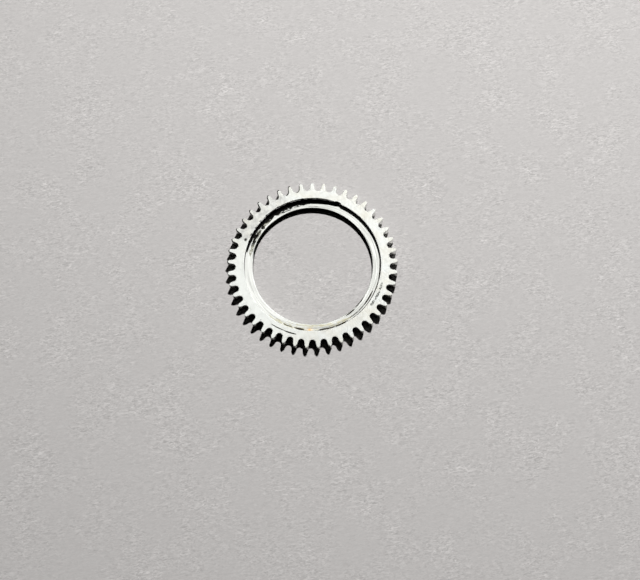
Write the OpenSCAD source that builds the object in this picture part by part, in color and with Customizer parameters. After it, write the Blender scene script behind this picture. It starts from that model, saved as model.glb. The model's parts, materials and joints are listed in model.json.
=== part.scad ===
// Crown wheel of a watch's winding work: a flat steel ring with ogive teeth round its rim
// and a stepped bore, whose ledge carries the round seat that the wheel turns on.
// Origin at the centre of the underside, +Z up out of the recess, +X through the middle of a tooth.
// All lengths are in millimetres.

/* [Teeth] */
// Number of teeth
teeth = 45; // [43:1:64]
// Module, the pitch diameter over the number of teeth
module_mm = 0.15; // [0.144:0.002:0.18]
// Height of a tooth above the pitch circle, in modules
head_modules = 1; // [0.85:0.05:1.15]
// Depth of a gap below the pitch circle, in modules
root_modules = 1.27; // [1.15:0.01:1.4]
// Width of a tooth at the pitch circle, as a share of the tooth pitch
tooth_share = 0.39; // [0.36:0.01:0.44]
// Radius of a tooth's rounded tip, in modules
tip_round_modules = 0.34; // [0.25:0.01:0.42]
// Radius of a gap's rounded bottom, in modules
gullet_modules = 0.85; // [0.7:0.01:0.9]

/* [Blank] */
// Thickness of the wheel
thickness = 0.57; // [0.45:0.01:0.9]
// Height and depth of the bevel turned on the tooth tips, at both faces
tip_bevel = 0.03; // [0.01:0.005:0.05]

/* [Stepped bore] */
// Diameter of the bore that turns on the seat
bore_d = 4.96; // [4.6:0.02:5.2]
// Width of the ledge, from the bore to the wall of the recess
ledge_w = 0.34; // [0.26:0.01:0.4]
// Height of the ledge above the underside
ledge_h = 0.32; // [0.2:0.01:0.38]
// Width of the relief turned in the ledge, along the wall of the recess
relief_w = 0.15; // [0.08:0.01:0.18]
// Depth of that relief below the ledge
relief_depth = 0.02; // [0.01:0.005:0.04]
// Bevel at the two ends of the bore
bore_bevel = 0.02; // [0.01:0.005:0.04]
// Bevel at the mouth of the recess
mouth_bevel = 0.03; // [0.01:0.005:0.05]

/* [Hidden] */

// How far a cutting shape reaches past what it cuts
reach = 0.1;
// Straight steps in each arc of a tooth
head_steps = 4;
tip_steps = 4;
gullet_steps = 8;
$fn = 180;

pitch_r = module_mm * teeth / 2;
tip_r = pitch_r + head_modules * module_mm;
root_r = pitch_r - root_modules * module_mm;
half_gap = 180 / teeth;
bore_r = bore_d / 2;
recess_r = bore_r + ledge_w;
relief_r = recess_r - relief_w;
relief_h = ledge_h - relief_depth;

// One tooth lies along +X. Its head is an arc on each side, which leaves the pitch circle
// square to it and runs smoothly into the rounded tip.
half_tooth = tooth_share * PI * module_mm / 2;
tip_round = tip_round_modules * module_mm;
tip_x = tip_r - tip_round;
head_rise = tip_x - pitch_r;
head_drop = (head_rise ^ 2 - (half_tooth - tip_round) ^ 2) / (2 * (half_tooth - tip_round));
head_round = head_drop + half_tooth;
head_end = atan2(head_drop, head_rise);

// The gap's bottom is an arc, and a straight flank runs from the pitch circle to it.
gullet_r = gullet_modules * module_mm;
gullet_c = (root_r + gullet_r) * [cos(half_gap), sin(half_gap)];
flank_run = gullet_c - [pitch_r, half_tooth];
flank_angle = atan2(flank_run.y, flank_run.x) + asin(gullet_r / norm(flank_run));
gullet_start = flank_angle + 90;
gullet_end = 2 * (180 + half_gap) - gullet_start;

// Points along an arc round a centre, from one angle to another
function arc(centre, r, from, to, steps) =
    [for (i = [0:steps]) let (a = from + (to - from) * i / steps) centre + r * [cos(a), sin(a)]];

// A point turned about the wheel's axis
function turned(p, a) = [p.x * cos(a) - p.y * sin(a), p.x * sin(a) + p.y * cos(a)];

// One tooth and the bottom of the gap after it, counter-clockwise
tooth_and_gap = concat(
    arc([pitch_r, head_drop], head_round, -90, -head_end, head_steps),
    [for (i = [1:tip_steps - 1]) arc([tip_x, 0], tip_round, -head_end, head_end, tip_steps)[i]],
    arc([pitch_r, -head_drop], head_round, head_end, 90, head_steps),
    arc(gullet_c, gullet_r, gullet_start, gullet_end, gullet_steps)
);

// The toothed outline, standing taller than the wheel
module toothed_bar() {
    translate([0, 0, -reach])
        linear_extrude(thickness + 2 * reach)
            polygon([for (k = [0:teeth - 1], p = tooth_and_gap) turned(p, 2 * half_gap * k)]);
}

// The turned blank: flat on both faces and bevelled at the rim
module blank() {
    rotate_extrude()
        polygon([
            [0, 0],
            [tip_r - tip_bevel, 0],
            [tip_r + reach, tip_bevel + reach],
            [tip_r + reach, thickness - tip_bevel - reach],
            [tip_r - tip_bevel, thickness],
            [0, thickness]
        ]);
}

// What is turned out of the middle: the bore, its ledge with the relief, and the recess
module stepped_bore() {
    rotate_extrude()
        polygon([
            [0, -reach],
            [bore_r + bore_bevel + reach, -reach],
            [bore_r, bore_bevel],
            [bore_r, ledge_h - bore_bevel],
            [bore_r + bore_bevel, ledge_h],
            [relief_r, ledge_h],
            [relief_r, relief_h],
            [recess_r, relief_h],
            [recess_r, thickness - mouth_bevel],
            [recess_r + mouth_bevel + reach, thickness + reach],
            [0, thickness + reach]
        ]);
}

// The wheel is one solid piece of steel
module crown_wheel() {
    color("gainsboro")
        difference() {
            intersection() {
                toothed_bar();
                blank();
            }
            stepped_bore();
        }
}

crown_wheel();
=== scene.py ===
"""A watch's crown wheel in hardened steel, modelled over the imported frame, on a plain pale floor."""

import json
import math

import bpy
from mathutils import Matrix, Vector


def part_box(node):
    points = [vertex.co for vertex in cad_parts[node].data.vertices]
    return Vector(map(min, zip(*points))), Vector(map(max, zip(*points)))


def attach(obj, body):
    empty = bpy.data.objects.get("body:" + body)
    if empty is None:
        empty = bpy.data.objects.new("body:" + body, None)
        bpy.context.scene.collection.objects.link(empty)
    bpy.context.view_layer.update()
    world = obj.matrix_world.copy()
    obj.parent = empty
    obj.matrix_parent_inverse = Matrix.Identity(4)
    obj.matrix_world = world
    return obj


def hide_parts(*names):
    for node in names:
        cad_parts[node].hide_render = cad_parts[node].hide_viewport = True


bl_info = {
    "name": "Watch crown wheel",
    "version": (1, 0, 0),
    "blender": (4, 5, 0),
    "location": "View3D > Sidebar > Crown wheel",
    "description": "Models the steel ring gear of a watch's winding work, its finish and a plain stage",
    "category": "Mesh",
}

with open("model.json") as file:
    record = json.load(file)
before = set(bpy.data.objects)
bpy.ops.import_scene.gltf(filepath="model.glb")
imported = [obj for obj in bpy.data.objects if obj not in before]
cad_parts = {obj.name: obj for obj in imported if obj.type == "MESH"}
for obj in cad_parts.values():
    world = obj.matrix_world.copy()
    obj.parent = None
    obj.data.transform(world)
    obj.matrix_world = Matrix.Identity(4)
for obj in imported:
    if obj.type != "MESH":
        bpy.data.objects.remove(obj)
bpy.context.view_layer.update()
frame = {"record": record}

MM = 0.001
MICRON = 1e-6
QUARTER = math.pi / 2
FULL_TURN = 2 * math.pi

NODE = "crown_wheel"
LOW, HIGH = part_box(NODE)
MOUNTS = {mount["name"]: mount for mount in frame["record"]["mounts"]}

# The finest distance between two points that are the same point
WELD = 1e-4 * MM

# Radius of the outermost full circle on both faces, just inside the gaps
CIRCLE = 3.11 * MM

# Width of the flat ring beside a rounded edge, which keeps the flat's shading flat
HOLD = 0.006 * MM

# Sharpest turn between two faces that is shaded smooth
SMOOTH = math.radians(40)

# How level a face is, by the upright part of its normal: a flat's is over the first value, a rounded
# edge's is over the second, and a wall's is under both
FLAT = 0.97
ROUNDED = 0.35

# How far handling has moved the points of the mouth at random
ROUGH = 0.003 * MM

# Chips in the mouth of the recess: angle, half its length in degrees, depth outwards and
# downwards, and how far the steel round it gives, in millimetres
CHIPS = (
    (67.0, 0.8, 0.035, 0.0, 0.15),
    (64.9, 0.5, 0.045, 0.0, 0.10),
    (92.0, 0.3, 0.045, 0.0, 0.04),
    (96.5, 0.5, 0.015, 0.01, 0.04),
    (100.0, 0.6, 0.03, 0.0, 0.05),
    (105.5, 0.5, 0.015, 0.01, 0.04),
    (110.0, 0.6, 0.03, 0.0, 0.05),
    (118.0, 0.8, 0.018, 0.01, 0.05),
    (130.0, 0.8, 0.045, 0.0, 0.05),
    (137.5, 0.6, 0.02, 0.01, 0.05),
    (144.0, 0.6, 0.035, 0.0, 0.05),
    (151.0, 0.7, 0.02, 0.01, 0.05),
)

# Middle of the rough stretch of the mouth, and half its length, in degrees
ROUGH_MIDDLE = 118
ROUGH_HALF = 36

# Bearings between which the teeth's top edges are painted dark as shade, and how far past the middle
# of a tooth that reaches, as a share of the pitch
SHADE_EDGES = (math.radians(97), math.radians(184))
SHADE_EDGES_PAST = 0.08

# Radius at which the patterns that run round the wheel have their true length
RING_R = 2.8 * MM

# Bearings, in degrees, at which painted light makes the faces and the walls palest, and the flanks' heads
# pale
PALE_FACES = 208
PALE_WALLS = 222
LIT_FLANKS = 42

# Radii, in millimetres, between which a flank goes over from its foot, painted near-black as shade in the
# gaps, to its head
FOOT_TO_HEAD = (3.24, 3.36)

# Distances from the axis, in millimetres, between which the floor goes over into the backdrop
FLOOR_FADES = (18, 60)

# Light from the lamp on what faces it at the origin, in watts to the square metre. At pi a matt
# colour renders as it is written
KEY = 3.15

# Width and height of the picture in pixels, and width of the camera's sensor in millimetres
PICTURE = Vector((640, 580))
SENSOR = 36.0


def mount_radius(name):
    """The radius of a round mount, in metres."""
    return MOUNTS[name]["dims"]["r_mm"] * MM


def mount_height(name):
    """The height of a mount above the underside, in metres."""
    return MOUNTS[name]["pos_m"][2]


def linear(code):
    """An sRGB hex colour as linear red, green, blue and alpha."""
    shares = [int(code[i : i + 2], 16) / 255 for i in (1, 3, 5)]
    return tuple(s / 12.92 if s <= 0.04045 else ((s + 0.055) / 1.055) ** 2.4 for s in shares) + (1.0,)


WHITE = linear("#FFFFFF")


class WheelSizes(bpy.types.PropertyGroup):
    """The wheel's own sizes. What the frame holds comes from the frame."""

    teeth: bpy.props.IntProperty(
        name="Teeth", description="Number of teeth", default=MOUNTS["teeth"]["dims"]["count"], min=12
    )
    pitch_r: bpy.props.FloatProperty(
        name="Pitch radius",
        description="Radius of the pitch circle",
        default=MOUNTS["teeth"]["dims"]["pcd_mm"] / 2 * MM,
        unit="LENGTH",
    )
    tip_r: bpy.props.FloatProperty(
        name="Tip radius", description="Radius over the tooth tips", default=HIGH.x, unit="LENGTH"
    )
    root_depth: bpy.props.FloatProperty(
        name="Root depth",
        description="Depth of a gap below the pitch circle, in modules",
        default=1.27,
        subtype="FACTOR",
    )
    tooth_share: bpy.props.FloatProperty(
        name="Tooth share",
        description="Width of a tooth at the pitch circle, as a share of the tooth pitch",
        default=0.39,
        subtype="FACTOR",
    )
    tip_round: bpy.props.FloatProperty(
        name="Tip rounding", description="Radius of a tooth's tip, in modules", default=0.34, subtype="FACTOR"
    )
    gullet: bpy.props.FloatProperty(
        name="Gullet", description="Radius of a gap's bottom, in modules", default=0.85, subtype="FACTOR"
    )
    thickness: bpy.props.FloatProperty(
        name="Thickness", description="Thickness of the wheel", default=HIGH.z - LOW.z, unit="LENGTH"
    )
    top_edge: bpy.props.FloatProperty(
        name="Top edge",
        description="Rounding worn and polished on the teeth's top edge",
        default=0.016 * MM,
        unit="LENGTH",
    )
    # The line that this sizes, along the top edge of the upper left teeth, is painted dark as shade
    shade_line: bpy.props.FloatProperty(
        name="Shade line",
        description="Width of the line of painted shade inside the top edge of the upper left teeth",
        default=0.02 * MM,
        unit="LENGTH",
    )
    bottom_edge: bpy.props.FloatProperty(
        name="Bottom edge",
        description="Rounding of the teeth's bottom edge",
        default=0.025 * MM,
        unit="LENGTH",
    )
    bore_r: bpy.props.FloatProperty(
        name="Bore radius",
        description="Radius of the bore",
        default=mount_radius("seat_bore"),
        unit="LENGTH",
    )
    recess_r: bpy.props.FloatProperty(
        name="Recess radius",
        description="Radius of the recess",
        default=mount_radius("seat_recess"),
        unit="LENGTH",
    )
    ledge_h: bpy.props.FloatProperty(
        name="Ledge height",
        description="Height of the ledge above the underside",
        default=mount_height("ledge"),
        unit="LENGTH",
    )
    relief_w: bpy.props.FloatProperty(
        name="Relief width",
        description="Width of the relief turned in the ledge along the recess's wall",
        default=0.15 * MM,
        unit="LENGTH",
    )
    relief_depth: bpy.props.FloatProperty(
        name="Relief depth", description="Depth of that relief", default=0.012 * MM, unit="LENGTH"
    )
    bore_edge: bpy.props.FloatProperty(
        name="Bore edge", description="Rounding at the bore's two ends", default=0.02 * MM, unit="LENGTH"
    )
    mouth_edge: bpy.props.FloatProperty(
        name="Mouth edge", description="Rounding at the recess's mouth", default=0.018 * MM, unit="LENGTH"
    )


class StageSettings(bpy.types.PropertyGroup):
    """The floor, the light and the camera."""

    floor_colour: bpy.props.FloatVectorProperty(
        name="Floor", description="Colour of the floor", subtype="COLOR", size=4, default=linear("#CDCAC8")
    )
    floor_size: bpy.props.FloatProperty(
        name="Floor size", description="Length of the floor's sides", default=2.0, unit="LENGTH"
    )
    turn: bpy.props.FloatProperty(
        name="Turn",
        description="Turn of the camera and the lamp about the wheel's axis, back from the first tooth",
        default=math.radians(-2.07),
        subtype="ANGLE",
    )
    camera_tilt: bpy.props.FloatProperty(
        name="Camera tilt",
        description="Angle of the view from straight down",
        default=math.radians(15.4),
        subtype="ANGLE",
    )
    camera_side: bpy.props.FloatProperty(
        name="Camera side",
        description="Angle of the view to the right of the front",
        default=math.radians(5.2),
        subtype="ANGLE",
    )
    lens: bpy.props.FloatProperty(name="Lens", description="Focal length", default=81.3, unit="CAMERA")
    pixels_per_tip_r: bpy.props.FloatProperty(
        name="Scale", description="Pixels that the tip radius covers in the picture", default=84.8
    )
    centre: bpy.props.FloatVectorProperty(
        name="Centre",
        description="Pixel at which the wheel's centre lies in the picture",
        size=2,
        default=(312.7, 267.8),
    )
    lamp_height: bpy.props.FloatProperty(
        name="Lamp height", description="Height of the lamp over the floor", default=0.085, unit="LENGTH"
    )
    lamp_radius: bpy.props.FloatProperty(
        name="Lamp radius",
        description="Radius of the lamp, which softens the shadows",
        default=0.002,
        unit="LENGTH",
    )
    lamp_lean: bpy.props.FloatVectorProperty(
        name="Lamp",
        description="How far the lamp stands to the right and behind, for each unit of height",
        size=2,
        default=(0.15, 0.40),
    )


def add_node(tree, kind, inputs=None, **settings):
    """Adds a node, sets its properties, and gives each named input a value or a link."""
    new = tree.nodes.new(kind)
    for name, value in settings.items():
        setattr(new, name, value)
    for name, value in (inputs or {}).items():
        if isinstance(value, bpy.types.NodeSocket):
            tree.links.new(value, new.inputs[name])
        else:
            new.inputs[name].default_value = value
    return new


def new_material(name):
    """An empty node material with its output."""
    material = bpy.data.materials.new(name)
    material.use_nodes = True
    material.node_tree.nodes.clear()
    output = add_node(material.node_tree, "ShaderNodeOutputMaterial")
    return material, material.node_tree, output


def places(tree):
    """A point's place on the wheel in millimetres: as it is, flat, by bearing, outward, and unrolled.

    A noise on these places has its Scale in flecks to the millimetre.
    """
    coordinates = add_node(tree, "ShaderNodeTexCoord")
    solid = add_node(
        tree, "ShaderNodeVectorMath", {0: coordinates.outputs["Object"], "Scale": 1 / MM}, operation="SCALE"
    )
    flat = add_node(
        tree, "ShaderNodeVectorMath", {0: solid.outputs["Vector"], 1: (1, 1, 0)}, operation="MULTIPLY"
    )
    bearing = add_node(tree, "ShaderNodeVectorMath", {0: flat.outputs["Vector"]}, operation="NORMALIZE")
    radius = add_node(tree, "ShaderNodeVectorMath", {0: flat.outputs["Vector"]}, operation="LENGTH")
    parts = add_node(tree, "ShaderNodeSeparateXYZ", {"Vector": flat.outputs["Vector"]})
    angle = add_node(
        tree, "ShaderNodeMath", {0: parts.outputs["Y"], 1: parts.outputs["X"]}, operation="ARCTAN2"
    )
    outward = add_node(tree, "ShaderNodeCombineXYZ", {"Z": radius.outputs["Value"]})
    unrolled = add_node(
        tree, "ShaderNodeCombineXYZ", {"X": angle.outputs["Value"], "Y": radius.outputs["Value"]}
    )
    return {
        "solid": solid.outputs["Vector"],
        "flat": flat.outputs["Vector"],
        "bearing": bearing.outputs["Vector"],
        "outward": outward.outputs["Vector"],
        "unrolled": unrolled.outputs["Vector"],
    }


def round_the_axis(tree, place, across, stretch):
    """Coordinates whose patterns run on round the wheel, and are that many times finer across."""
    ring = add_node(
        tree, "ShaderNodeVectorMath", {0: place["bearing"], "Scale": RING_R / MM}, operation="SCALE"
    )
    both = add_node(
        tree,
        "ShaderNodeVectorMath",
        {0: place[across], 1: (0, 0, stretch), 2: ring.outputs["Vector"]},
        operation="MULTIPLY_ADD",
    )
    return both.outputs["Vector"]


def together(tree, masks, operation="MAXIMUM"):
    """One mask of several: the highest of them at each point, or with MINIMUM the lowest."""
    joined, *others = masks
    for mask in others:
        joined = add_node(tree, "ShaderNodeMath", {0: joined, 1: mask}, operation=operation).outputs["Value"]
    return joined


def patch(tree, place, angle, radius, half_angle, half_width, soft=0.6):
    """A soft oval mask at an angle in degrees and a radius in millimetres, with half its size in each."""
    turned = math.radians((angle + 180) % 360 - 180)
    offset = add_node(
        tree, "ShaderNodeVectorMath", {0: place["unrolled"], 1: (turned, radius, 0)}, operation="SUBTRACT"
    )
    shares = add_node(
        tree,
        "ShaderNodeVectorMath",
        {0: offset.outputs["Vector"], 1: (1 / math.radians(half_angle), 1 / half_width, 0)},
        operation="MULTIPLY",
    )
    reach = add_node(tree, "ShaderNodeVectorMath", {0: shares.outputs["Vector"]}, operation="LENGTH")
    mask = add_node(
        tree,
        "ShaderNodeMapRange",
        {"Value": reach.outputs["Value"], "From Min": 1.0, "From Max": 1.0 - soft},
        interpolation_type="SMOOTHSTEP",
    )
    return mask.outputs["Result"]


def patches(tree, place, rows):
    """One mask of several such patches."""
    return together(tree, [patch(tree, place, *row) for row in rows])


def one_side(tree, place, angle, start, full, blotch=None, sway=0.3):
    """A mask over the side at an angle in degrees, which fades out round it, swayed by any blotch pattern."""
    turned = math.radians(angle)
    nearness = add_node(
        tree,
        "ShaderNodeVectorMath",
        {0: place["bearing"], 1: (math.cos(turned), math.sin(turned), 0)},
        operation="DOT_PRODUCT",
    ).outputs["Value"]
    if blotch is not None:
        nearness = add_node(
            tree, "ShaderNodeMath", {0: blotch, 1: sway, 2: nearness}, operation="MULTIPLY_ADD"
        ).outputs["Value"]
    mask = add_node(
        tree,
        "ShaderNodeMapRange",
        {"Value": nearness, "From Min": start, "From Max": full},
        interpolation_type="SMOOTHSTEP",
    )
    return mask.outputs["Result"]


def broken(tree, mask, coordinates, per_mm, level, edge):
    """Breaks a mask up into so many flecks to the millimetre, where a noise is over a level.

    Where the mask is whole the level is the given one, and it rises towards the mask's rim.
    """
    # What a whole mask adds to the noise, and the mask's value from which the flecks have full weight
    pull = 0.4
    rim = 0.2
    grain = add_node(
        tree,
        "ShaderNodeTexNoise",
        {"Vector": coordinates, "Scale": per_mm, "Detail": 3.0, "Roughness": 0.6},
    )
    both = add_node(
        tree, "ShaderNodeMath", {0: mask, 1: pull, 2: grain.outputs["Fac"]}, operation="MULTIPLY_ADD"
    )
    within = add_node(tree, "ShaderNodeMath", {0: mask, 1: 1 / rim}, operation="MULTIPLY", use_clamp=True)
    kept = add_node(
        tree,
        "ShaderNodeMapRange",
        {
            "Value": both.outputs["Value"],
            "From Min": pull + level,
            "From Max": pull + level + edge,
            "To Max": within.outputs["Value"],
        },
        interpolation_type="SMOOTHSTEP",
    )
    return kept.outputs["Result"]


def scratches(tree, place, heading, length, width):
    """Straight scratches along a heading in degrees, of about that length and width in millimetres."""
    turned = add_node(
        tree,
        "ShaderNodeMapping",
        {"Vector": place["flat"], "Rotation": (0, 0, math.radians(heading)), "Scale": (length, width, 1)},
        vector_type="TEXTURE",
    )
    grain = add_node(
        tree,
        "ShaderNodeTexNoise",
        {"Vector": turned.outputs["Vector"], "Scale": 1.0, "Detail": 2.0, "Roughness": 0.5},
    )
    return grain.outputs["Fac"]


def two_tones(tree, pattern, start, end, first, second):
    """Goes from one colour to another as a pattern rises from one value to another."""
    share = add_node(tree, "ShaderNodeMapRange", {"Value": pattern, "From Min": start, "From Max": end})
    toned = add_node(
        tree, "ShaderNodeMix", {0: share.outputs["Result"], 6: first, 7: second}, data_type="RGBA"
    )
    return toned.outputs[2]


def laid_over(tree, colour, layers):
    """Lays further colours over a first one in their order, each where its mask is."""
    for mask, upper in layers:
        colour = add_node(tree, "ShaderNodeMix", {0: mask, 6: colour, 7: upper}, data_type="RGBA").outputs[2]
    return colour


def bare_metal(tree, output, colour, gloss, height, depth, edge_tint=WHITE):
    """Finishes a metal by its colour, its gloss, and a height pattern that spans a depth in metres.

    The gloss is a pattern, two values of it, and the roughness at each.
    """
    pattern, start, end, rough_start, rough_end = gloss
    roughness = add_node(
        tree,
        "ShaderNodeMapRange",
        {"Value": pattern, "From Min": start, "From Max": end, "To Min": rough_start, "To Max": rough_end},
    )
    bump = add_node(tree, "ShaderNodeBump", {"Height": height, "Distance": depth, "Strength": 1.0})
    shader = add_node(
        tree,
        "ShaderNodeBsdfPrincipled",
        {
            "Base Color": colour,
            "Metallic": 1.0,
            "Specular Tint": edge_tint,
            "Roughness": roughness.outputs["Result"],
            "Normal": bump.outputs["Normal"],
        },
    )
    tree.links.new(shader.outputs["BSDF"], output.inputs["Surface"])


def lapped_steel():
    """Hardened steel lapped flat: the top face and the tops of the teeth."""
    # Fine scratches in every direction spread the lamp into one even, pale sheen
    material, tree, output = new_material("hardened_steel_lapped")
    place = places(tree)
    cloud = add_node(
        tree,
        "ShaderNodeTexNoise",
        {"Vector": place["flat"], "Scale": 1.6, "Detail": 4.0, "Roughness": 0.6},
    )
    colour = two_tones(tree, cloud.outputs["Fac"], 0.35, 0.65, linear("#C5C7C4"), linear("#C1C0B8"))

    # The left of the face is painted paler as painted light, where the lamp's sheen falls off, and the
    # lap has left its upper left duller and specked
    pale = one_side(tree, place, PALE_FACES, 0.45, 1.0)
    specked = patch(tree, place, 134, 3.1, 42, 0.75, 0.5)
    specked = broken(tree, specked, place["flat"], 5.0, 0.35, 0.4)

    # Nicks at the lower right, and a short one by the teeth at the lower left
    nicked = patches(
        tree,
        place,
        [
            (324, 2.965, 4.5, 0.09, 0.5),
            (331, 2.985, 6, 0.09, 0.5),
            (339, 2.975, 5.5, 0.08, 0.5),
            (226, 3.14, 0.9, 0.07),
        ],
    )
    nicked = broken(tree, nicked, round_the_axis(tree, place, "outward", 2.5), 18.0, 0.42, 0.12)

    # An arc that something turning has rubbed, a pit, and painted shade: a dark band just outside
    # the recess's mouth at the back and by a chip, which widens the recess's dark band
    rings = round_the_axis(tree, place, "outward", 8.0)
    arc = patches(tree, place, [(250.5, 3.025, 6.5, 0.034, 0.4), (241, 3.022, 9, 0.024)])
    arc = broken(tree, arc, rings, 1.5, 0.2, 0.15)
    # Painted shade just outside the recess's mouth
    shade_past_mouth = patches(tree, place, [(98, 2.84, 40, 0.034, 0.4), (66, 2.87, 3, 0.03, 0.5)])
    shade_past_mouth = broken(tree, shade_past_mouth, rings, 2.0, 0.15, 0.1)
    pit = patch(tree, place, 156.8, 2.97, 1.9, 0.085, 0.7)
    marks = together(tree, [arc, shade_past_mouth, pit])

    # The scratches of the lap, in three headings. Real ones are a few microns wide, and these are
    # drawn several times as wide so that they show
    headings = ((24, 0.5, 0.018), (-52, 0.4, 0.02), (83, 0.6, 0.022))
    lapped = together(tree, [scratches(tree, place, *row) for row in headings], "MINIMUM")
    scored = add_node(
        tree,
        "ShaderNodeMapRange",
        {"Value": lapped, "From Min": 0.3, "From Max": 0.24, "To Min": 0, "To Max": 0.5},
    )
    layers = [
        (pale, linear("#CCCECA")),
        (specked, linear("#A8A8A5")),
        (nicked, linear("#484A46")),
        (marks, linear("#33332F")),
        (scored.outputs["Result"], linear("#9C9C98")),
    ]
    colour = laid_over(tree, colour, layers)

    # The marks and that painted shade are cut in four times as deep as the scratches
    height = add_node(tree, "ShaderNodeMath", {0: marks, 1: -4.0, 2: lapped}, operation="MULTIPLY_ADD")
    gloss = (lapped, 0.25, 0.5, 0.74, 0.62)
    bare_metal(tree, output, colour, gloss, height.outputs["Value"], 1.6 * MICRON)
    return material


def ground_steel():
    """Hardened steel ground flat in one direction: the underside, which nothing has touched up."""
    # Straight parallel grain, a little darker than the lapped face, with a few cloudy patches. The
    # lines of a fine wheel are under a hundredth of a millimetre wide, and are drawn at twice that
    material, tree, output = new_material("hardened_steel_ground")
    place = places(tree)
    grain = scratches(tree, place, 8, 3.0, 0.02)
    cloud = add_node(
        tree,
        "ShaderNodeTexNoise",
        {"Vector": place["flat"], "Scale": 1.1, "Detail": 4.0, "Roughness": 0.6},
    )
    tone = add_node(
        tree, "ShaderNodeMath", {0: grain, 1: 0.5, 2: cloud.outputs["Fac"]}, operation="MULTIPLY_ADD"
    )
    colour = two_tones(tree, tone.outputs["Value"], 0.5, 1.0, linear("#A2A29E"), linear("#BEBFBB"))
    bare_metal(tree, output, colour, (grain, 0.3, 0.7, 0.55, 0.4), grain, 1.5 * MICRON)
    return material


def burnished_steel():
    """Hardened steel rubbed smooth: the rounded edges."""
    # A brighter, tighter sheen than the faces, clouded by small rubs. Near-black painted shade lies
    # in flecks along the mouth at the back and the front
    material, tree, output = new_material("hardened_steel_burnished")
    place = places(tree)
    rubs = add_node(
        tree,
        "ShaderNodeTexNoise",
        {"Vector": place["solid"], "Scale": 12.0, "Detail": 3.0, "Roughness": 0.6},
    ).outputs["Fac"]
    colour = two_tones(tree, rubs, 0.35, 0.65, linear("#D6D6D3"), linear("#ECECEA"))
    # Painted shade along the mouth's rounded edge, broken into flecks
    rows = [(305, 2.83, 48, 0.05, 0.4), (255, 2.83, 30, 0.05, 0.4), (106, 2.83, 66, 0.06, 0.2)]
    mouth_shade = round_the_axis(tree, place, "outward", 3.0)
    mouth_shade = broken(tree, patches(tree, place, rows), mouth_shade, 4.0, 0.42, 0.2)
    colour = laid_over(tree, colour, [(mouth_shade, linear("#070706"))])
    bare_metal(tree, output, colour, (rubs, 0.35, 0.65, 0.6, 0.48), rubs, 2.0 * MICRON)
    return material


def shade_edge_steel():
    """Hardened steel painted dark as shade: the left edges of the teeth at the upper left."""
    # Painted shade for the dark surroundings that these rounded edges mirror:
    # two near-black tones in blotches, with a dull sheen
    material, tree, output = new_material("hardened_steel_painted_shade_edge")
    place = places(tree)
    blotch = add_node(
        tree,
        "ShaderNodeTexNoise",
        {"Vector": place["solid"], "Scale": 9.0, "Detail": 3.0, "Roughness": 0.6},
    ).outputs["Fac"]
    colour = two_tones(tree, blotch, 0.45, 0.7, linear("#080807"), linear("#2C2C29"))
    bare_metal(tree, output, colour, (blotch, 0.35, 0.65, 0.45, 0.6), blotch, 2.0 * MICRON)
    return material


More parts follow.
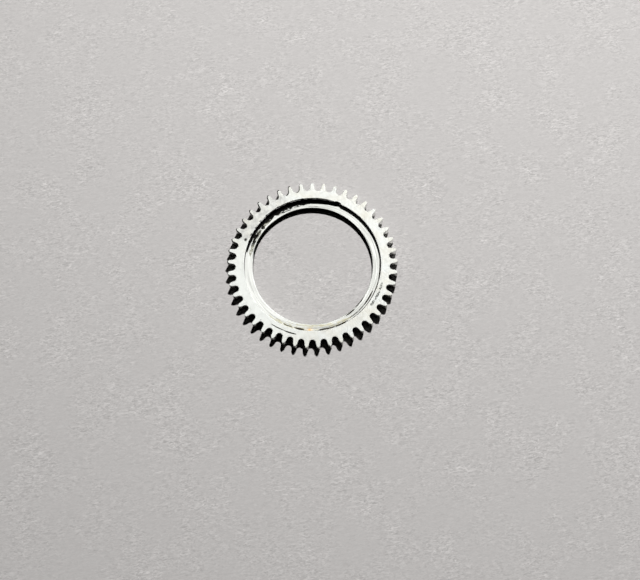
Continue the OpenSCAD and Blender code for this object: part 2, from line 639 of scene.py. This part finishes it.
def turned_ledge_steel():
    """Hardened steel as turned flat: the ledge."""
    # Rings from the lathe, with dried oil and lapping dirt left where the seat's flange sat, and painted
    # shade at the foot of the wall and on the bore's lip at the back. The tool's feed is about a
    # hundredth of a millimetre, and the rings are drawn at three times that
    material, tree, output = new_material("hardened_steel_turned_ledge")
    place = places(tree)
    rings = round_the_axis(tree, place, "outward", 40.0)
    streaks = round_the_axis(tree, place, "outward", 4.0)
    spotted = round_the_axis(tree, place, "outward", 2.5)
    turned = add_node(
        tree, "ShaderNodeTexNoise", {"Vector": rings, "Scale": 0.8, "Detail": 2.0, "Roughness": 0.5}
    ).outputs["Fac"]
    colour = two_tones(tree, turned, 0.35, 0.65, linear("#C0C1BC"), linear("#C6C7C3"))

    # Painted paler at the left as painted light, with a yellowish residue round the front
    pale = one_side(tree, place, PALE_FACES, 0.45, 1.0)
    residue = patches(tree, place, [(250, 2.72, 36, 0.14), (292, 2.67, 18, 0.13), (268, 2.57, 34, 0.09)])
    residue = broken(tree, residue, spotted, 5.0, 0.34, 0.25)

    # Thin dark lines in that residue and along the ledge's two rims. Along the foot of the recess wall
    # at the right runs a dark line that is partly painted shade and partly a brownish stain
    lines = patches(
        tree,
        place,
        [
            (246, 2.72, 6, 0.03, 0.4),
            (256.3, 2.72, 6, 0.05, 0.4),
            (279, 2.725, 7, 0.045, 0.4),
            (292, 2.735, 13, 0.036, 0.4),
            (284, 2.765, 16, 0.02, 0.3),
            (327, 2.70, 10, 0.036, 0.3),
            (312, 2.70, 12, 0.022, 0.4),
            (306, 2.533, 7, 0.04, 0.4),
            (319, 2.50, 10, 0.03, 0.5),
            (87, 2.575, 8, 0.016, 0.8),
        ],
    )
    lines = broken(tree, lines, streaks, 4.0, 0.28, 0.12)
    # Partly painted shade and partly a brownish stain, along the foot of the recess wall
    along_wall = patches(tree, place, [(319, 2.79, 33, 0.034, 0.3), (353, 2.79, 12, 0.038, 0.5)])
    lines = together(tree, [lines, along_wall])

    # An orange crumb in a pale ring of its own
    halo = patch(tree, place, 265.8, 2.71, 4.0, 0.13, 0.6)
    crumb = patch(tree, place, 265.4, 2.715, 1.7, 0.06, 0.8)

    # The stain at the upper left: a thin bloom, olive at its edges, black in its middle and hatched.
    # Against the wall at the back, black that is partly the stain and partly painted shade widening
    # the wall's shadow, and black painted shade on the bore's lip
    bloom = patches(tree, place, [(149, 2.65, 13, 0.16), (162, 2.63, 11, 0.14), (134, 2.66, 9, 0.12)])
    bloom = broken(tree, bloom, spotted, 12.0, 0.38, 0.16)
    stained = patches(
        tree,
        place,
        [
            (120.5, 2.68, 4, 0.085, 0.5),
            (129.5, 2.69, 6, 0.085, 0.4),
            (139, 2.645, 2.6, 0.12, 0.5),
            (149.5, 2.65, 5, 0.055, 0.5),
            (153.5, 2.68, 3.2, 0.045, 0.4),
        ],
    )
    olive = broken(tree, stained, spotted, 11.0, 0.28, 0.12)
    black = broken(tree, stained, spotted, 11.0, 0.34, 0.07)
    hatched = patches(
        tree, place, [(101, 2.69, 10, 0.08, 0.3), (113, 2.67, 10, 0.12, 0.3), (151, 2.65, 12, 0.12, 0.4)]
    )
    hatched = broken(tree, hatched, spotted, 8.0, 0.46, 0.03)
    # Partly the stain and partly painted shade, against the wall at the back
    shade_at_wall = patches(
        tree, place, [(96, 2.79, 34, 0.115, 0.2), (124, 2.79, 24, 0.11, 0.2), (148, 2.80, 21, 0.075, 0.4)]
    )
    shade_at_wall = broken(tree, shade_at_wall, spotted, 9.0, 0.1, 0.14)
    # Painted shade on the bore's lip at the back
    lip = patches(tree, place, [(108, 2.485, 66, 0.04, 0.2), (146, 2.495, 26, 0.05, 0.3)])
    layers = [
        (pale, linear("#CFD0CC")),
        (residue, linear("#B7B49F")),
        (lines, linear("#35312B")),
        (halo, linear("#CDC3B0")),
        (crumb, linear("#CDAC7C")),
        (bloom, linear("#828173")),
        (olive, linear("#77745F")),
        (together(tree, [black, hatched, shade_at_wall, lip]), linear("#11110F")),
    ]
    colour = laid_over(tree, colour, layers)

    # The residue stands three times as high as the rings
    raised = add_node(tree, "ShaderNodeMath", {0: residue, 1: 3.0, 2: turned}, operation="MULTIPLY_ADD")
    gloss = (turned, 0.35, 0.65, 0.72, 0.6)
    bare_metal(tree, output, colour, gloss, raised.outputs["Value"], 0.6 * MICRON)
    return material


def turned_wall_steel():
    """Hardened steel as turned round: the walls of the recess and the bore."""
    # Level rings from the lathe, in a near-black colour that is painted shade, with painted light at
    # the front left. The low edge tint keeps the steel dark at a glancing view too, as more painted
    # shade. The rings are drawn at three times the tool's feed, as on the ledge
    material, tree, output = new_material("hardened_steel_turned_wall")
    place = places(tree)
    rings = round_the_axis(tree, place, "solid", 40.0)
    turned = add_node(
        tree, "ShaderNodeTexNoise", {"Vector": rings, "Scale": 0.9, "Detail": 3.0, "Roughness": 0.6}
    ).outputs["Fac"]
    # Painted shade: the walls' near-black tones; painted light: pale at the front left
    colour = two_tones(tree, turned, 0.35, 0.7, linear("#10100F"), linear("#2C2C2A"))
    pale = one_side(tree, place, PALE_WALLS, 0.45, 1.0)
    colour = laid_over(tree, colour, [(pale, linear("#D0D1CD"))])
    gloss = (turned, 0.35, 0.65, 0.34, 0.2)
    bare_metal(tree, output, colour, gloss, turned, 1.5 * MICRON, edge_tint=(0.1, 0.1, 0.1, 1.0))
    return material


def milled_steel():
    """Hardened steel as milled: the flanks of the teeth and the bottoms of the gaps."""
    # Upright streaks from the cutter, in painted light and shade: near-black at the foot in the gaps,
    # dark on the heads, and pale on the heads that face the lamp at the back right. The streaks are
    # drawn 0.025 mm wide, over twice their real width
    material, tree, output = new_material("hardened_steel_milled")
    place = places(tree)
    width_to_length = 0.06
    upright = add_node(
        tree, "ShaderNodeVectorMath", {0: place["solid"], 1: (1, 1, width_to_length)}, operation="MULTIPLY"
    )
    milled = add_node(
        tree,
        "ShaderNodeTexNoise",
        {"Vector": upright.outputs["Vector"], "Scale": 40.0, "Detail": 2.0, "Roughness": 0.5},
    ).outputs["Fac"]
    blotch = add_node(
        tree,
        "ShaderNodeTexNoise",
        {"Vector": place["solid"], "Scale": 3.5, "Detail": 3.0, "Roughness": 0.6},
    )
    # Painted light on the heads that face the lamp at the back right
    lit_side = one_side(tree, place, LIT_FLANKS, 0.7, 1.05, blotch.outputs["Fac"])
    distance = add_node(tree, "ShaderNodeVectorMath", {0: place["outward"]}, operation="LENGTH")
    foot, head = FOOT_TO_HEAD
    at_head = add_node(
        tree,
        "ShaderNodeMapRange",
        {"Value": distance.outputs["Value"], "From Min": foot, "From Max": head},
        interpolation_type="SMOOTHSTEP",
    )
    # Painted shade: near-black at the foot, dark on the heads away from the lamp
    shaded_foot = two_tones(tree, milled, 0.3, 0.7, linear("#171715"), linear("#2A2A28"))
    shaded_heads = two_tones(tree, milled, 0.3, 0.7, linear("#5A5A56"), linear("#7E7E79"))
    lit_heads = two_tones(tree, milled, 0.3, 0.7, linear("#D2D3CF"), linear("#EDEEEA"))
    heads = laid_over(tree, shaded_heads, [(lit_side, lit_heads)])
    colour = laid_over(tree, shaded_foot, [(at_head.outputs["Result"], heads)])
    bare_metal(tree, output, colour, (milled, 0.3, 0.7, 0.3, 0.18), milled, 1.5 * MICRON)
    return material


def plain_paper(colour):
    """Matt uncoated paper: the floor."""
    # Short fibres, a shade lighter or darker, lie in the pale sheet in every direction. Real ones are
    # about 0.02 mm wide, and are drawn at 0.07 mm. Far from the wheel, where the lamp no longer
    # reaches, the paper goes over into a backdrop as pale
    darker, lighter, pale = [tuple(c * share for c in colour[:3]) + (1.0,) for share in (0.76, 1.24, 1.28)]
    material, tree, output = new_material("matt_paper")
    coordinates = add_node(tree, "ShaderNodeTexCoord")
    flat = add_node(
        tree, "ShaderNodeVectorMath", {0: coordinates.outputs["Object"], "Scale": 1 / MM}, operation="SCALE"
    )
    bent = add_node(
        tree,
        "ShaderNodeMapping",
        {"Vector": flat.outputs["Vector"], "Rotation": (0, 0, math.radians(4)), "Scale": (0.25, 0.09, 1)},
        vector_type="TEXTURE",
    )
    fibres = add_node(
        tree,
        "ShaderNodeTexNoise",
        {"Vector": bent.outputs["Vector"], "Scale": 1.3, "Detail": 4.0, "Roughness": 0.65, "Distortion": 1.2},
    )
    felted = add_node(
        tree,
        "ShaderNodeTexNoise",
        {"Vector": flat.outputs["Vector"], "Scale": 0.45, "Detail": 3.0, "Roughness": 0.7},
    )
    thick = add_node(
        tree,
        "ShaderNodeMapRange",
        {"Value": felted.outputs["Fac"], "From Min": 0.4, "From Max": 0.65, "To Min": 0.35, "To Max": 1.3},
    )
    off_middle = add_node(
        tree, "ShaderNodeMath", {0: fibres.outputs["Fac"], 1: 0.5}, operation="SUBTRACT"
    )
    spread_out = add_node(
        tree,
        "ShaderNodeMath",
        {0: off_middle.outputs["Value"], 1: thick.outputs["Result"], 2: 0.5},
        operation="MULTIPLY_ADD",
    )
    toned = two_tones(tree, spread_out.outputs["Value"], 0.3, 0.7, darker, lighter)

    # Where the felt is thick, the ends of single fibres stand up and catch the light
    ends = add_node(
        tree,
        "ShaderNodeTexNoise",
        {"Vector": bent.outputs["Vector"], "Scale": 0.5, "Detail": 2.0, "Roughness": 0.6, "Distortion": 2.0},
    )
    standing = add_node(
        tree, "ShaderNodeMapRange", {"Value": ends.outputs["Fac"], "From Min": 0.62, "From Max": 0.68}
    )
    scarce = add_node(
        tree, "ShaderNodeMapRange", {"Value": felted.outputs["Fac"], "From Min": 0.46, "From Max": 0.6}
    )
    loose = add_node(
        tree,
        "ShaderNodeMath",
        {0: standing.outputs["Result"], 1: scarce.outputs["Result"]},
        operation="MULTIPLY",
    )
    toned = laid_over(tree, toned, [(loose.outputs["Value"], pale)])
    shader = add_node(
        tree,
        "ShaderNodeBsdfPrincipled",
        {"Base Color": toned, "Roughness": 0.95, "Specular IOR Level": 0.0},
    )

    # The backdrop shows only to the camera and in the steel, so it lights nothing
    near, far = FLOOR_FADES
    distance = add_node(tree, "ShaderNodeVectorMath", {0: flat.outputs["Vector"]}, operation="LENGTH")
    faded = add_node(
        tree,
        "ShaderNodeMapRange",
        {"Value": distance.outputs["Value"], "From Min": near, "From Max": far},
        interpolation_type="SMOOTHSTEP",
    )
    path = add_node(tree, "ShaderNodeLightPath")
    seen = together(tree, [path.outputs["Is Camera Ray"], path.outputs["Is Glossy Ray"]])
    share = add_node(tree, "ShaderNodeMath", {0: faded.outputs["Result"], 1: seen}, operation="MULTIPLY")
    backdrop = add_node(tree, "ShaderNodeEmission", {"Color": linear("#C6C3C1"), "Strength": 1.0})
    sheet = add_node(
        tree, "ShaderNodeMixShader", {0: share.outputs["Value"], 1: shader.outputs[0], 2: backdrop.outputs[0]}
    )
    tree.links.new(sheet.outputs["Shader"], output.inputs["Surface"])
    return material


def studio_world():
    """Surroundings that are pale to the camera, and give the steel something to mirror."""
    world = bpy.data.worlds.new("studio")
    world.use_nodes = True
    tree = world.node_tree
    tree.nodes.clear()
    output = add_node(tree, "ShaderNodeOutputWorld")
    path = add_node(tree, "ShaderNodeLightPath")

    # The photograph's shadows are nearly black, so what fills them is faint
    fill = add_node(tree, "ShaderNodeBackground", {"Color": WHITE, "Strength": 0.002})
    seen = add_node(tree, "ShaderNodeBackground", {"Color": linear("#D8D6D4"), "Strength": 1.0})

    # What the steel mirrors: a pale wall behind and to the right, dimmer to the left and in front
    coordinates = add_node(tree, "ShaderNodeTexCoord")
    side = add_node(
        tree,
        "ShaderNodeVectorMath",
        {0: coordinates.outputs["Generated"], 1: (0.7, 0.7, 0)},
        operation="DOT_PRODUCT",
    )
    sideways = add_node(
        tree,
        "ShaderNodeMapRange",
        {"Value": side.outputs["Value"], "From Min": -0.5, "From Max": 0.6, "To Min": 0.12, "To Max": 1.0},
    )
    parts = add_node(tree, "ShaderNodeSeparateXYZ", {"Vector": coordinates.outputs["Generated"]})
    upwards = add_node(
        tree,
        "ShaderNodeMapRange",
        {"Value": parts.outputs["Z"], "From Min": 0.25, "From Max": 0.6, "To Min": 1.1, "To Max": 0.01},
    )
    strength = add_node(
        tree,
        "ShaderNodeMath",
        {0: sideways.outputs["Result"], 1: upwards.outputs["Result"]},
        operation="MULTIPLY",
    )
    mirrored = add_node(tree, "ShaderNodeBackground", {"Color": WHITE, "Strength": strength.outputs["Value"]})

    # The wall shows in the steel alone, and doesn't light the floor by way of it
    first_glance = add_node(
        tree, "ShaderNodeMath", {0: path.outputs["Diffuse Depth"], 1: 0.5}, operation="LESS_THAN"
    )
    in_metal = add_node(
        tree,
        "ShaderNodeMath",
        {0: path.outputs["Is Glossy Ray"], 1: first_glance.outputs["Value"]},
        operation="MULTIPLY",
    )
    around = fill.outputs[0]
    for share, shown in ((path.outputs["Is Camera Ray"], seen), (in_metal.outputs["Value"], mirrored)):
        around = add_node(tree, "ShaderNodeMixShader", {0: share, 1: around, 2: shown.outputs[0]}).outputs[0]
    tree.links.new(around, output.inputs["Surface"])
    return world


def edit(piece):
    """Makes one piece active and enters its edit mode."""
    bpy.ops.object.select_all(action="DESELECT")
    piece.select_set(True)
    bpy.context.view_layer.objects.active = piece
    bpy.ops.object.mode_set(mode="EDIT")


def pick(piece, kind, test):
    """Selects the points, edges or faces of a piece that pass a test, and nothing else."""
    bpy.ops.mesh.select_mode(type=kind)
    bpy.ops.mesh.select_all(action="DESELECT")
    bpy.ops.object.mode_set(mode="OBJECT")
    for item in {"VERT": piece.data.vertices, "EDGE": piece.data.edges, "FACE": piece.data.polygons}[kind]:
        item.select = test(item)
    bpy.ops.object.mode_set(mode="EDIT")


def arc_on(centre, turn, steps):
    """Carries the selected point on round a centre, counter-clockwise for a positive turn."""
    bpy.ops.mesh.spin(steps=steps, angle=-turn, center=(centre[0], centre[1], 0), axis=(0, 0, 1))


def line_on(step, count):
    """Carries the selected point on along a straight line, in equal steps."""
    for _ in range(count):
        bpy.ops.mesh.extrude_region_move(
            TRANSFORM_OT_translate={"value": (step[0] / count, step[1] / count, 0)}
        )


def tooth_outline(sizes):
    """Draws one tooth, from the middle of the gap before it to the middle of the gap after it."""
    module = 2 * sizes.pitch_r / sizes.teeth
    half_tooth = sizes.tooth_share * math.pi * module / 2
    half_gap = math.pi / sizes.teeth
    tip_round = sizes.tip_round * module
    gullet_r = sizes.gullet * module
    root_r = sizes.pitch_r - sizes.root_depth * module

    # The head: an arc that leaves the pitch circle square to it and runs smoothly into the tip
    tip_x = sizes.tip_r - tip_round
    rise = tip_x - sizes.pitch_r
    drop = (rise**2 - (half_tooth - tip_round) ** 2) / (2 * (half_tooth - tip_round))
    head_end = math.atan2(drop, rise)

    # The flank: straight from the pitch circle to the round bottom of the gap
    gullet = (root_r + gullet_r) * Vector((math.cos(half_gap), math.sin(half_gap)))
    run = gullet - Vector((sizes.pitch_r, half_tooth))
    flank_angle = math.atan2(run.y, run.x) + math.asin(gullet_r / run.length)
    flank_length = math.sqrt(run.length**2 - gullet_r**2)
    flank = flank_length * Vector((math.cos(flank_angle), math.sin(flank_angle)))
    gullet_turn = flank_angle - QUARTER - half_gap

    bpy.ops.transform.translate(value=(root_r * math.cos(half_gap), -root_r * math.sin(half_gap), 0))
    arc_on((gullet.x, -gullet.y), -gullet_turn, 6)
    line_on((-flank.x, flank.y), 2)
    arc_on((sizes.pitch_r, drop), QUARTER - head_end, 5)
    arc_on((tip_x, 0), 2 * head_end, 6)
    arc_on((sizes.pitch_r, -drop), QUARTER - head_end, 5)
    line_on((flank.x, flank.y), 2)
    arc_on(gullet, -gullet_turn, 6)


def grow(height=0.0):
    """Grows the selected face by one ring and lifts it."""
    bpy.ops.mesh.extrude_region_move(TRANSFORM_OT_translate={"value": (0, 0, height)})


def rounded_rim(size, steps, ring):
    """Rounds the selected face's rim from its wall over to flat, and leaves a narrow flat ring."""
    for i in range(steps):
        start, end = QUARTER * i / steps, QUARTER * (i + 1) / steps
        inward = size * (math.cos(start) - math.cos(end))
        upward = size * (math.sin(end) - math.sin(start))
        bpy.ops.mesh.inset(thickness=inward, depth=upward, use_even_offset=True)
    bpy.ops.mesh.inset(thickness=ring, depth=0, use_even_offset=True)


def rim_to_circle(piece):
    """Grows the selected toothed face by one ring and draws it in to a full circle."""
    grow()
    bpy.ops.transform.tosphere(value=1.0)
    piece.update_from_editmode()
    radius = max(v.co.xy.length for v in piece.data.vertices if v.select)
    share = CIRCLE / radius
    bpy.ops.transform.resize(value=(share, share, 1))


def turn_down(points):
    """Turns the selected face's rim through a profile of radii and heights, as on a lathe."""
    (radius, height), *rest = points
    for next_radius, next_height in rest:
        grow(next_height - height)
        share = next_radius / radius
        bpy.ops.transform.resize(value=(share, share, 1))
        radius, height = next_radius, next_height


def spread(start, end, count):
    """Evenly spaced profile points from one to another, without the first."""
    return [
        (start[0] + (end[0] - start[0]) * i / count, start[1] + (end[1] - start[1]) * i / count)
        for i in range(1, count + 1)
    ]


def rounding(centre, size, start, end, steps):
    """Profile points of a rounded edge about a centre, between two angles, without the first."""
    angles = [start + (end - start) * i / steps for i in range(1, steps + 1)]
    return [(centre[0] + size * math.cos(a), centre[1] + size * math.sin(a)) for a in angles]


def recess_profile(sizes):
    """The turned profile: the top face, the recess, its ledge and the bore."""
    top = sizes.thickness
    mouth, lip = sizes.mouth_edge, sizes.bore_edge
    relief_r = sizes.recess_r - sizes.relief_w
    relief_h = sizes.ledge_h - sizes.relief_depth
    lip_r = sizes.bore_r + lip
    points = [(CIRCLE, top)]
    points += spread(points[-1], (sizes.recess_r + mouth, top), 13)
    points += rounding((sizes.recess_r + mouth, top - mouth), mouth, QUARTER, 2 * QUARTER, 4)
    points += [(sizes.recess_r, top - mouth - HOLD)]
    points += spread(points[-1], (sizes.recess_r, relief_h), 2)
    points += [(sizes.recess_r - HOLD, relief_h)]
    points += spread(points[-1], (relief_r, relief_h), 4)
    points += [(relief_r - sizes.relief_depth / 2, sizes.ledge_h)]
    points += spread(points[-1], (lip_r, sizes.ledge_h), 6)
    points += rounding((lip_r, sizes.ledge_h - lip), lip, QUARTER, 2 * QUARTER, 3)
    points += spread(points[-1], (sizes.bore_r, lip), 3)
    points += rounding((lip_r, lip), lip, 2 * QUARTER, 3 * QUARTER, 3)
    return points


def wear(piece, sizes):
    """Roughens and chips the mouth of the recess, as handling has left it."""
    mouth_out = sizes.recess_r + sizes.mouth_edge + WELD
    edge_low = sizes.thickness - sizes.mouth_edge - HOLD - WELD
    rough_high = sizes.thickness - ROUGH

    def at_mouth(point, angle, half):
        if not (sizes.recess_r - WELD < point.co.xy.length < mouth_out and point.co.z > edge_low):
            return False
        return abs((math.degrees(math.atan2(point.co.y, point.co.x)) - angle + 180) % 360 - 180) < half

    pick(piece, "VERT", lambda point: at_mouth(point, ROUGH_MIDDLE, ROUGH_HALF) and point.co.z < rough_high)
    bpy.ops.transform.vertex_random(offset=ROUGH, uniform=0.0, normal=0.0, seed=7)
    for angle, half, outward, down, give in CHIPS:
        pick(piece, "VERT", lambda point: at_mouth(point, angle, half))
        turned = math.radians(angle)
        bpy.ops.transform.translate(
            value=(outward * MM * math.cos(turned), outward * MM * math.sin(turned), -down * MM),
            use_proportional_edit=True,
            proportional_edit_falloff="SMOOTH",
            proportional_size=give * MM,
            use_proportional_connected=True,
        )


def on_shade_edge(piece, face, sizes):
    """Whether a face lies on the painted-shade line of a tooth's top edge, on its left side or round its tip.
    """
    turned = math.atan2(face.center.y, face.center.x) % FULL_TURN
    if not SHADE_EDGES[0] < turned < SHADE_EDGES[1] or face.center.z < sizes.thickness - sizes.top_edge:
        return False
    innermost = min(piece.data.vertices[i].co.xy.length for i in face.vertices)
    from_tooth = (turned * sizes.teeth / FULL_TURN + 0.5) % 1 - 0.5
    return innermost > CIRCLE + HOLD and from_tooth > -SHADE_EDGES_PAST


def finish_of(piece, face, sizes):
    """The finish of a face, by its place on the wheel."""
    radius, height, level = face.center.xy.length, face.center.z, abs(face.normal.z)
    if level > FLAT and height < sizes.ledge_h / 2:
        return ground_steel
    # The line painted dark as shade on the upper left teeth's top edges
    if on_shade_edge(piece, face, sizes):
        return shade_edge_steel
    if level > FLAT:
        return turned_ledge_steel if height < (sizes.ledge_h + sizes.thickness) / 2 else lapped_steel
    if level > ROUNDED and sizes.bore_edge < height < sizes.ledge_h + WELD:
        return turned_ledge_steel
    if level > ROUNDED and not sizes.recess_r + sizes.mouth_edge + HOLD < radius < CIRCLE:
        return burnished_steel
    return turned_wall_steel if radius < CIRCLE else milled_steel


FINISHES = (
    lapped_steel,
    burnished_steel,
    turned_ledge_steel,
    turned_wall_steel,
    milled_steel,
    ground_steel,
    shade_edge_steel,
)


def assign_finishes(piece, sizes):
    """Makes the finishes and gives each face its own."""
    for finish in FINISHES:
        piece.data.materials.append(finish())
    for face in piece.data.polygons:
        face.material_index = FINISHES.index(finish_of(piece, face, sizes))


class CROWNWHEEL_OT_wheel(bpy.types.Operator):
    """Models the toothed ring with its recess, ledge and bore, and finishes its steel"""

    bl_idname = "crownwheel.wheel"
    bl_label = "Wheel"

    def execute(self, context):
        sizes = context.scene.crown_wheel_sizes
        bpy.ops.object.select_all(action="DESELECT")
        bpy.ops.mesh.primitive_plane_add(size=MM)
        piece = context.object
        piece.name = piece.data.name = "toothed_ring"
        edit(piece)
        bpy.ops.mesh.merge(type="CENTER")
        tooth_outline(sizes)
        bpy.ops.mesh.select_all(action="SELECT")
        bpy.ops.mesh.spin(steps=sizes.teeth, angle=FULL_TURN, center=(0, 0, 0), axis=(0, 0, 1), dupli=True)
        bpy.ops.mesh.select_all(action="SELECT")
        bpy.ops.mesh.remove_doubles(threshold=WELD)
        bpy.ops.transform.translate(value=(0, 0, sizes.bottom_edge))
        bpy.ops.mesh.edge_face_add()

        # Up the wall, over its rounded edge, in across the top face and down through the recess
        grow(sizes.thickness - sizes.top_edge - sizes.bottom_edge)
        rounded_rim(sizes.top_edge, 4, sizes.shade_line)
        rim_to_circle(piece)
        turn_down(recess_profile(sizes))
        bpy.ops.mesh.delete(type="ONLY_FACE")

        # The same from the wall's lower end, in across the underside to the bore
        pick(piece, "FACE", lambda face: len(face.vertices) > 4)
        rounded_rim(sizes.bottom_edge, 3, HOLD)
        rim_to_circle(piece)
        turn_down([(CIRCLE, 0)] + spread((CIRCLE, 0), (sizes.bore_r + sizes.bore_edge, 0), 6))
        bpy.ops.mesh.delete(type="ONLY_FACE")
        bpy.ops.mesh.select_all(action="SELECT")
        bpy.ops.mesh.remove_doubles(threshold=WELD)
        wear(piece, sizes)
        bpy.ops.mesh.select_all(action="SELECT")
        bpy.ops.mesh.normals_make_consistent(inside=False)
        bpy.ops.object.mode_set(mode="OBJECT")
        bpy.ops.object.shade_smooth_by_angle(angle=SMOOTH)
        assign_finishes(piece, sizes)
        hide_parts(NODE)
        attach(piece, "root")
        return {"FINISHED"}


class CROWNWHEEL_OT_stage(bpy.types.Operator):
    """Lays the pale floor and sets the light, the surroundings and the camera"""

    bl_idname = "crownwheel.stage"
    bl_label = "Stage"

    def execute(self, context):
        stage = context.scene.crown_wheel_stage
        sizes = context.scene.crown_wheel_sizes
        bpy.ops.object.select_all(action="DESELECT")
        bpy.ops.mesh.primitive_plane_add(size=stage.floor_size, location=(0, 0, LOW.z))
        floor = context.object
        floor.name = floor.data.name = "floor"
        floor.data.materials.append(plain_paper(tuple(stage.floor_colour)))

        turn = Matrix.Rotation(stage.turn, 3, "Z")
        lean = turn @ Vector((stage.lamp_lean[0], stage.lamp_lean[1], 1))
        bpy.ops.object.light_add(type="POINT", location=lean * stage.lamp_height)
        lamp = context.object
        lamp.name = "key_lamp"
        lamp.data.energy = KEY * 4 * math.pi * lean.length_squared * stage.lamp_height**2
        lamp.data.shadow_soft_size = stage.lamp_radius
        context.scene.world = studio_world()

        # The camera looks at the wheel's centre, then turns its view so that the centre falls at
        # its pixel, as the photograph has it
        focal = stage.lens / SENSOR * PICTURE.x
        back = Vector(
            (
                math.sin(stage.camera_tilt) * math.sin(stage.camera_side),
                -math.sin(stage.camera_tilt) * math.cos(stage.camera_side),
                math.cos(stage.camera_tilt),
            )
        )
        right = Vector((0, 1, 0)).cross(back).normalized()
        up = back.cross(right)
        square = Matrix((right, up, back)).transposed()
        sight = Vector(
            (
                (stage.centre[0] - PICTURE.x / 2) / focal,
                -(stage.centre[1] - PICTURE.y / 2) / focal,
                -1,
            )
        )
        aim = sight.rotation_difference(Vector((0, 0, -1))).to_matrix()
        distance = focal / stage.pixels_per_tip_r * sizes.tip_r * sight.length
        bpy.ops.object.camera_add()
        camera = context.object
        camera.name = "camera"
        camera.location = turn @ (back * distance)
        camera.rotation_euler = (turn @ square @ aim).to_euler()
        camera.data.lens = stage.lens
        camera.data.sensor_width = SENSOR
        camera.data.clip_start = distance / 100
        camera.data.clip_end = stage.floor_size * 2
        context.scene.camera = camera
        context.scene.view_settings.view_transform = "Standard"
        return {"FINISHED"}


class CROWNWHEEL_PT_panel(bpy.types.Panel):
    """Lists the wheel's sizes and the steps that build it"""

    bl_idname = "CROWNWHEEL_PT_panel"
    bl_label = "Crown wheel"
    bl_space_type = "VIEW_3D"
    bl_region_type = "UI"
    bl_category = "Crown wheel"

    def draw(self, context):
        for group in (context.scene.crown_wheel_sizes, context.scene.crown_wheel_stage):
            for name in group.__annotations__:
                self.layout.prop(group, name)
        for operator in (CROWNWHEEL_OT_wheel, CROWNWHEEL_OT_stage):
            self.layout.operator(operator.bl_idname)


CLASSES = (WheelSizes, StageSettings, CROWNWHEEL_OT_wheel, CROWNWHEEL_OT_stage, CROWNWHEEL_PT_panel)


def register():
    """Adds the classes and the scene's settings."""
    for one in CLASSES:
        bpy.utils.register_class(one)
    bpy.types.Scene.crown_wheel_sizes = bpy.props.PointerProperty(type=WheelSizes)
    bpy.types.Scene.crown_wheel_stage = bpy.props.PointerProperty(type=StageSettings)


def unregister():
    """Takes them away again."""
    del bpy.types.Scene.crown_wheel_stage
    del bpy.types.Scene.crown_wheel_sizes
    for one in reversed(CLASSES):
        bpy.utils.unregister_class(one)


def main():
    """Registers the classes and builds the wheel and its stage."""
    register()
    bpy.ops.crownwheel.wheel()
    bpy.ops.crownwheel.stage()


if __name__ == "__main__":
    main()
